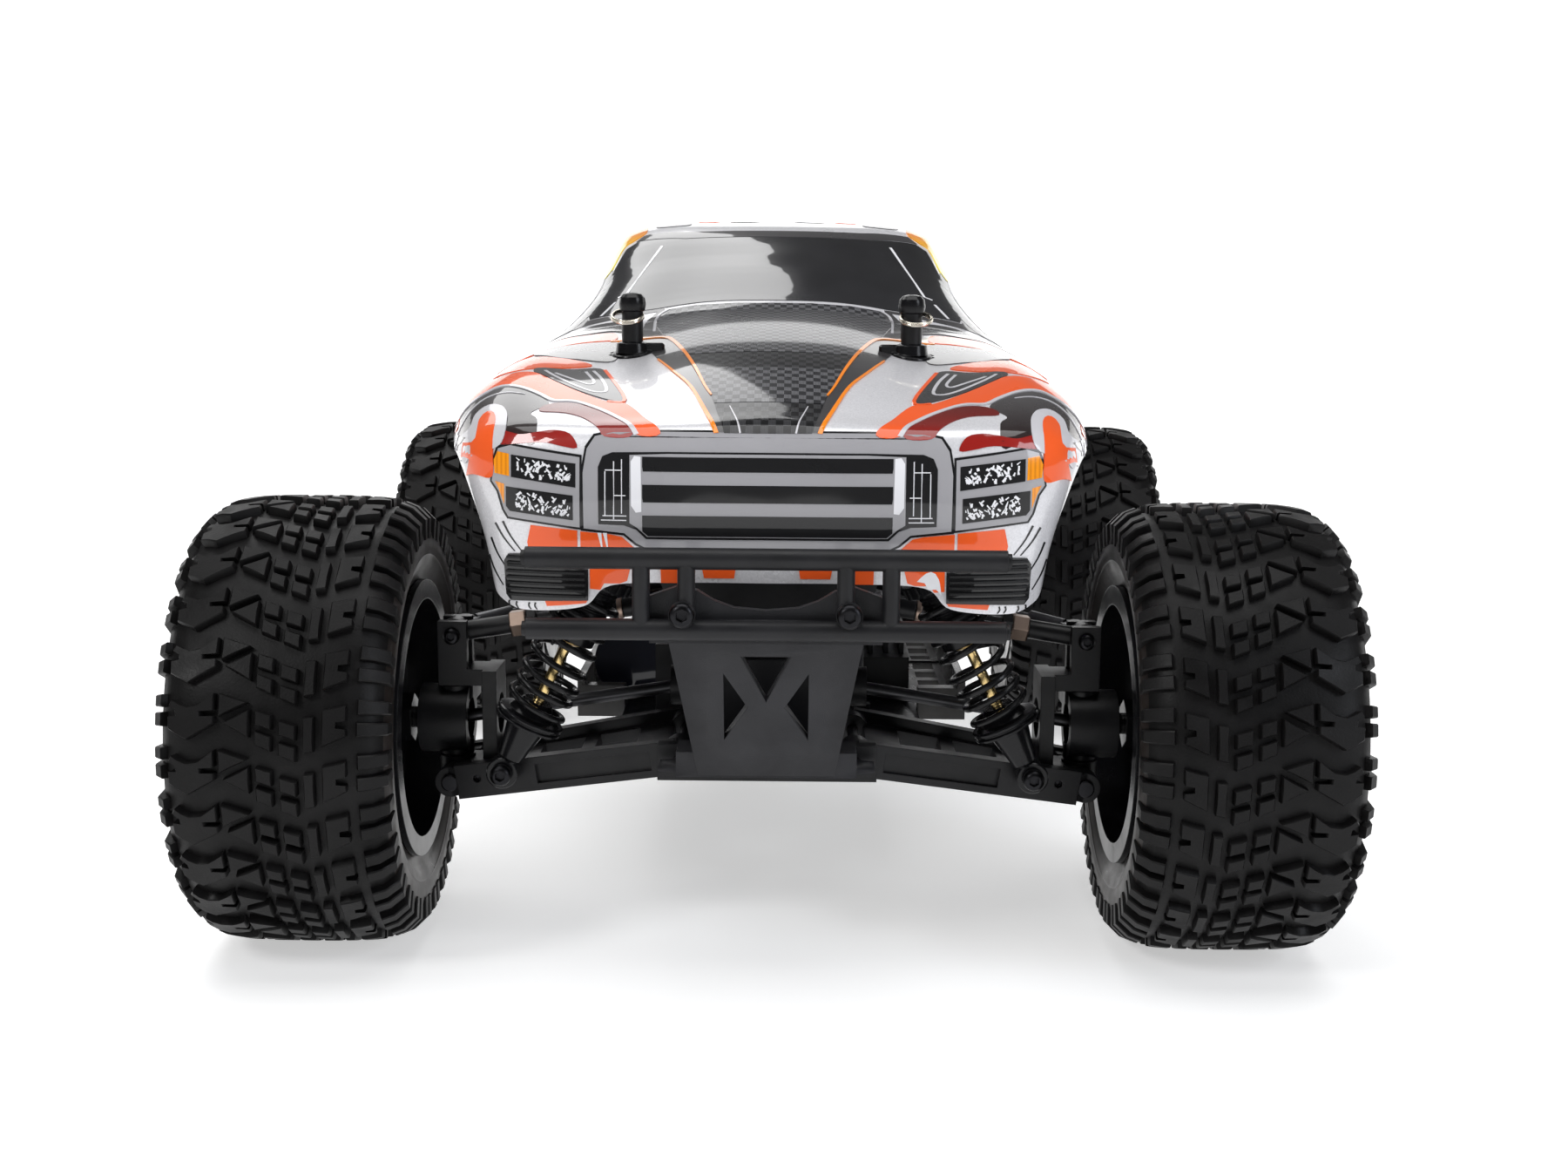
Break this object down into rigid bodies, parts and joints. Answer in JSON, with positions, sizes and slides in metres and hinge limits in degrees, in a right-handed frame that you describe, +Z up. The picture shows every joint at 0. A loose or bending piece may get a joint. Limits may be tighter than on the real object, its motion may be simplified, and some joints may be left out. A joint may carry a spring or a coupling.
{
  "type": "radio-controlled monster truck",
  "caption": "Radio-controlled four-wheel-drive monster truck with sprung wishbone suspension, steering, driveline, tube bumper and clip-on pickup body.",
  "frame": {"origin": "on the ground under the middle of the truck, half way between the axles and the sides", "axes": "the nose points to -Y, +Z is up, and the truck's own left side is +X"},
  "size_m": [0.31, 0.4092, 0.2058],
  "materials": {
    "black_plastic": "fine moulded grain",
    "bumper_black": "satin moulded nylon",
    "chassis_alloy": "grey anodised",
    "purple_alloy": "purple anodised",
    "battery_wrap": "shrink wrap",
    "motor_steel": "plated can",
    "body_paint": "thin clear polycarbonate, painted silver grey, orange and black",
    "bright_steel": "bright",
    "spring_black": "black coated wire",
    "brass": "plain",
    "shock_black": "moulded",
    "gold_steel": "gold plated rod",
    "rim_black": "moulded",
    "tyre_rubber": "moulded rubber"
  },
  "bodies": {
    "chassis": {"chassis_plate": "chassis_alloy", "side_guards": "black_plastic", "upper_deck": "purple_alloy", "front_gearbox": "black_plastic", "rear_gearbox": "black_plastic", "front_shock_tower": "black_plastic", "rear_shock_tower": "black_plastic", "front_bumper_plate": "black_plastic", "front_bumper_bars": "bumper_black", "rear_bumper": "black_plastic", "battery_pack": "battery_wrap", "motor": "motor_steel", "speed_controller": "black_plastic", "steering_servo": "black_plastic", "body_posts": "black_plastic", "body_shell": "body_paint", "body_clips": "bright_steel", "hinge_pins": "bright_steel", "shock_springs": "spring_black"},
    "center_drive": {"center_drive": "black_plastic"},
    "motor_pinion": {"motor_pinion": "brass"},
    "servo_saver": {"servo_saver": "black_plastic"},
    "idler_arm": {"idler_arm": "black_plastic"},
    "steering_link": {"steering_link": "chassis_alloy"},
    "tie_rod_left": {"tie_rod_left": "chassis_alloy"},
    "tie_rod_right": {"tie_rod_right": "chassis_alloy"},
    "knuckle_left": {"knuckle_left": "black_plastic"},
    "knuckle_right": {"knuckle_right": "black_plastic"},
    "arm_front_left": {"lower_arm_front_left": "black_plastic"},
    "hub_front_left": {"c_hub_left": "black_plastic"},
    "link_front_left": {"upper_link_front_left": "black_plastic"},
    "dogbone_front_left": {"dogbone_front_left": "bright_steel"},
    "shock_body_front_left": {"shock_body_front_left": "shock_black"},
    "shock_rod_front_left": {"shock_rod_front_left": "gold_steel"},
    "wheel_front_left": {"rim_front_left": "rim_black", "tyre_front_left": "tyre_rubber"},
    "arm_front_right": {"lower_arm_front_right": "black_plastic"},
    "hub_front_right": {"c_hub_right": "black_plastic"},
    "link_front_right": {"upper_link_front_right": "black_plastic"},
    "dogbone_front_right": {"dogbone_front_right": "bright_steel"},
    "shock_body_front_right": {"shock_body_front_right": "shock_black"},
    "shock_rod_front_right": {"shock_rod_front_right": "gold_steel"},
    "wheel_front_right": {"rim_front_right": "rim_black", "tyre_front_right": "tyre_rubber"},
    "arm_rear_left": {"lower_arm_rear_left": "black_plastic"},
    "hub_rear_left": {"rear_hub_left": "black_plastic"},
    "link_rear_left": {"upper_link_rear_left": "black_plastic"},
    "dogbone_rear_left": {"dogbone_rear_left": "bright_steel"},
    "shock_body_rear_left": {"shock_body_rear_left": "shock_black"},
    "shock_rod_rear_left": {"shock_rod_rear_left": "gold_steel"},
    "wheel_rear_left": {"rim_rear_left": "rim_black", "tyre_rear_left": "tyre_rubber"},
    "arm_rear_right": {"lower_arm_rear_right": "black_plastic"},
    "hub_rear_right": {"rear_hub_right": "black_plastic"},
    "link_rear_right": {"upper_link_rear_right": "black_plastic"},
    "dogbone_rear_right": {"dogbone_rear_right": "bright_steel"},
    "shock_body_rear_right": {"shock_body_rear_right": "shock_black"},
    "shock_rod_rear_right": {"shock_rod_rear_right": "gold_steel"},
    "wheel_rear_right": {"rim_rear_right": "rim_black", "tyre_rear_right": "tyre_rubber"}
  },
  "joints": [
    {"name": "suspension_front_left", "type": "hinge", "parent": "chassis", "child": "arm_front_left", "pos_m": [0.024, -0.14, 0.057], "axis": [0, -1, 0], "range_deg": [-8, 9], "stiffness_Nm_per_rad": 6, "springref_deg": -4.87},
    {"name": "hub_tilt_front_left", "type": "hinge", "parent": "arm_front_left", "child": "hub_front_left", "pos_m": [0.088, -0.14, 0.047], "axis": [0, -1, 0], "range_deg": [-9.5, 8.5]},
    {"name": "link_tilt_front_left", "type": "hinge", "parent": "chassis", "child": "link_front_left", "pos_m": [0.024, -0.14, 0.097], "axis": [0, -1, 0], "range_deg": [-8.5, 9.5]},
    {"name": "dogbone_tilt_front_left", "type": "hinge", "parent": "chassis", "child": "dogbone_front_left", "pos_m": [0.024, -0.14, 0.0725], "axis": [0, -1, 0], "range_deg": [-8.5, 9.5]},
    {"name": "shock_tilt_front_left", "type": "hinge", "parent": "chassis", "child": "shock_body_front_left", "pos_m": [0.039, -0.161, 0.118], "axis": [0, -1, 0], "range_deg": [-4, 4.5]},
    {"name": "shock_travel_front_left", "type": "slide", "parent": "shock_body_front_left", "child": "shock_rod_front_left", "axis": [0.4499, 0, -0.8931], "range_m": [-0.0072, 0.0066], "deforming": ["shock_springs"]},
    {"name": "suspension_front_right", "type": "hinge", "parent": "chassis", "child": "arm_front_right", "pos_m": [-0.024, -0.14, 0.057], "axis": [0, 1, 0], "range_deg": [-8, 9], "stiffness_Nm_per_rad": 6, "springref_deg": -4.87},
    {"name": "hub_tilt_front_right", "type": "hinge", "parent": "arm_front_right", "child": "hub_front_right", "pos_m": [-0.088, -0.14, 0.047], "axis": [0, 1, 0], "range_deg": [-9.5, 8.5]},
    {"name": "link_tilt_front_right", "type": "hinge", "parent": "chassis", "child": "link_front_right", "pos_m": [-0.024, -0.14, 0.097], "axis": [0, 1, 0], "range_deg": [-8.5, 9.5]},
    {"name": "dogbone_tilt_front_right", "type": "hinge", "parent": "chassis", "child": "dogbone_front_right", "pos_m": [-0.024, -0.14, 0.0725], "axis": [0, 1, 0], "range_deg": [-8.5, 9.5]},
    {"name": "shock_tilt_front_right", "type": "hinge", "parent": "chassis", "child": "shock_body_front_right", "pos_m": [-0.039, -0.161, 0.118], "axis": [0, 1, 0], "range_deg": [-4, 4.5]},
    {"name": "shock_travel_front_right", "type": "slide", "parent": "shock_body_front_right", "child": "shock_rod_front_right", "axis": [-0.4499, 0, -0.8931], "range_m": [-0.0072, 0.0066], "deforming": ["shock_springs"]},
    {"name": "suspension_rear_left", "type": "hinge", "parent": "chassis", "child": "arm_rear_left", "pos_m": [0.024, 0.14, 0.057], "axis": [0, -1, 0], "range_deg": [-8, 9], "stiffness_Nm_per_rad": 6, "springref_deg": -4.87},
    {"name": "hub_tilt_rear_left", "type": "hinge", "parent": "arm_rear_left", "child": "hub_rear_left", "pos_m": [0.088, 0.14, 0.047], "axis": [0, -1, 0], "range_deg": [-9.5, 8.5]},
    {"name": "link_tilt_rear_left", "type": "hinge", "parent": "chassis", "child": "link_rear_left", "pos_m": [0.024, 0.14, 0.097], "axis": [0, -1, 0], "range_deg": [-8.5, 9.5]},
    {"name": "dogbone_tilt_rear_left", "type": "hinge", "parent": "chassis", "child": "dogbone_rear_left", "pos_m": [0.024, 0.14, 0.0725], "axis": [0, -1, 0], "range_deg": [-8.5, 9.5]},
    {"name": "shock_tilt_rear_left", "type": "hinge", "parent": "chassis", "child": "shock_body_rear_left", "pos_m": [0.039, 0.161, 0.118], "axis": [0, -1, 0], "range_deg": [-4, 4.5]},
    {"name": "shock_travel_rear_left", "type": "slide", "parent": "shock_body_rear_left", "child": "shock_rod_rear_left", "axis": [0.4499, 0, -0.8931], "range_m": [-0.0072, 0.0066], "deforming": ["shock_springs"]},
    {"name": "suspension_rear_right", "type": "hinge", "parent": "chassis", "child": "arm_rear_right", "pos_m": [-0.024, 0.14, 0.057], "axis": [0, 1, 0], "range_deg": [-8, 9], "stiffness_Nm_per_rad": 6, "springref_deg": -4.87},
    {"name": "hub_tilt_rear_right", "type": "hinge", "parent": "arm_rear_right", "child": "hub_rear_right", "pos_m": [-0.088, 0.14, 0.047], "axis": [0, 1, 0], "range_deg": [-9.5, 8.5]},
    {"name": "link_tilt_rear_right", "type": "hinge", "parent": "chassis", "child": "link_rear_right", "pos_m": [-0.024, 0.14, 0.097], "axis": [0, 1, 0], "range_deg": [-8.5, 9.5]},
    {"name": "dogbone_tilt_rear_right", "type": "hinge", "parent": "chassis", "child": "dogbone_rear_right", "pos_m": [-0.024, 0.14, 0.0725], "axis": [0, 1, 0], "range_deg": [-8.5, 9.5]},
    {"name": "shock_tilt_rear_right", "type": "hinge", "parent": "chassis", "child": "shock_body_rear_right", "pos_m": [-0.039, 0.161, 0.118], "axis": [0, 1, 0], "range_deg": [-4, 4.5]},
    {"name": "shock_travel_rear_right", "type": "slide", "parent": "shock_body_rear_right", "child": "shock_rod_rear_right", "axis": [-0.4499, 0, -0.8931], "range_m": [-0.0072, 0.0066], "deforming": ["shock_springs"]},
    {"name": "steering_left", "type": "hinge", "parent": "hub_front_left", "child": "knuckle_left", "pos_m": [0.088, -0.14, 0.0625], "axis": [0, 0, 1], "range_deg": [-20, 20]},
    {"name": "steering_right", "type": "hinge", "parent": "hub_front_right", "child": "knuckle_right", "pos_m": [-0.088, -0.14, 0.0625], "axis": [0, 0, 1], "range_deg": [-20.5, 20.5]},
    {"name": "servo_turn", "type": "hinge", "parent": "chassis", "child": "servo_saver", "pos_m": [-0.024, -0.103, 0.0875], "axis": [0, 0, 1], "range_deg": [-20.5, 20.5]},
    {"name": "idler_turn", "type": "hinge", "parent": "chassis", "child": "idler_arm", "pos_m": [0.024, -0.103, 0.0875], "axis": [0, 0, 1], "range_deg": [-20.5, 20.5]},
    {"name": "link_turn", "type": "hinge", "parent": "servo_saver", "child": "steering_link", "pos_m": [-0.024, -0.087, 0.0875], "axis": [0, 0, 1], "range_deg": [-20.5, 20.5]},
    {"name": "tie_tilt_left", "type": "hinge", "parent": "steering_link", "child": "tie_rod_left", "pos_m": [0.03, -0.087, 0.095], "axis": [0, -1, 0], "range_deg": [-9.6, 10.8]},
    {"name": "tie_tilt_right", "type": "hinge", "parent": "steering_link", "child": "tie_rod_right", "pos_m": [-0.03, -0.087, 0.095], "axis": [0, 1, 0], "range_deg": [-9.6, 10.8]},
    {"name": "wheel_spin_front_left", "type": "hinge", "parent": "knuckle_left", "child": "wheel_front_left", "pos_m": [0.125, -0.14, 0.0625], "axis": [1, 0, 0], "continuous": true},
    {"name": "wheel_spin_front_right", "type": "hinge", "parent": "knuckle_right", "child": "wheel_front_right", "pos_m": [-0.125, -0.14, 0.0625], "axis": [1, 0, 0], "continuous": true},
    {"name": "wheel_spin_rear_left", "type": "hinge", "parent": "hub_rear_left", "child": "wheel_rear_left", "pos_m": [0.125, 0.14, 0.0625], "axis": [1, 0, 0], "continuous": true},
    {"name": "wheel_spin_rear_right", "type": "hinge", "parent": "hub_rear_right", "child": "wheel_rear_right", "pos_m": [-0.125, 0.14, 0.0625], "axis": [1, 0, 0], "continuous": true},
    {"name": "drive_spin", "type": "hinge", "parent": "chassis", "child": "center_drive", "pos_m": [0, 0.078, 0.0725], "axis": [0, 1, 0], "continuous": true},
    {"name": "pinion_spin", "type": "hinge", "parent": "chassis", "child": "motor_pinion", "pos_m": [0.024, 0.078, 0.0725], "axis": [0, 1, 0], "continuous": true}
  ],
  "couplings": [
    {"joint": "hub_tilt_front_left", "follows": "suspension_front_left", "ratio": -1},
    {"joint": "link_tilt_front_left", "follows": "suspension_front_left", "ratio": 1},
    {"joint": "dogbone_tilt_front_left", "follows": "suspension_front_left", "ratio": 1},
    {"joint": "shock_tilt_front_left", "follows": "suspension_front_left", "ratio": 0.349},
    {"joint": "shock_travel_front_left", "follows": "suspension_front_left", "m_per_rad": -0.041},
    {"joint": "hub_tilt_front_right", "follows": "suspension_front_right", "ratio": -1},
    {"joint": "link_tilt_front_right", "follows": "suspension_front_right", "ratio": 1},
    {"joint": "dogbone_tilt_front_right", "follows": "suspension_front_right", "ratio": 1},
    {"joint": "shock_tilt_front_right", "follows": "suspension_front_right", "ratio": 0.349},
    {"joint": "shock_travel_front_right", "follows": "suspension_front_right", "m_per_rad": -0.041},
    {"joint": "hub_tilt_rear_left", "follows": "suspension_rear_left", "ratio": -1},
    {"joint": "link_tilt_rear_left", "follows": "suspension_rear_left", "ratio": 1},
    {"joint": "dogbone_tilt_rear_left", "follows": "suspension_rear_left", "ratio": 1},
    {"joint": "shock_tilt_rear_left", "follows": "suspension_rear_left", "ratio": 0.349},
    {"joint": "shock_travel_rear_left", "follows": "suspension_rear_left", "m_per_rad": -0.041},
    {"joint": "hub_tilt_rear_right", "follows": "suspension_rear_right", "ratio": -1},
    {"joint": "link_tilt_rear_right", "follows": "suspension_rear_right", "ratio": 1},
    {"joint": "dogbone_tilt_rear_right", "follows": "suspension_rear_right", "ratio": 1},
    {"joint": "shock_tilt_rear_right", "follows": "suspension_rear_right", "ratio": 0.349},
    {"joint": "shock_travel_rear_right", "follows": "suspension_rear_right", "m_per_rad": -0.041},
    {"joint": "steering_right", "follows": "steering_left", "ratio": 1},
    {"joint": "servo_turn", "follows": "steering_left", "ratio": 1},
    {"joint": "idler_turn", "follows": "steering_left", "ratio": 1},
    {"joint": "link_turn", "follows": "steering_left", "ratio": -1},
    {"joint": "tie_tilt_left", "follows": "suspension_front_left", "ratio": 1.1034},
    {"joint": "tie_tilt_right", "follows": "suspension_front_right", "ratio": 1.1034},
    {"joint": "wheel_spin_front_right", "follows": "wheel_spin_front_left", "ratio": 1},
    {"joint": "wheel_spin_rear_left", "follows": "wheel_spin_front_left", "ratio": 1},
    {"joint": "wheel_spin_rear_right", "follows": "wheel_spin_front_left", "ratio": 1},
    {"joint": "drive_spin", "follows": "wheel_spin_front_left", "ratio": 3.3077},
    {"joint": "pinion_spin", "follows": "wheel_spin_front_left", "ratio": -9.9231}
  ]
}
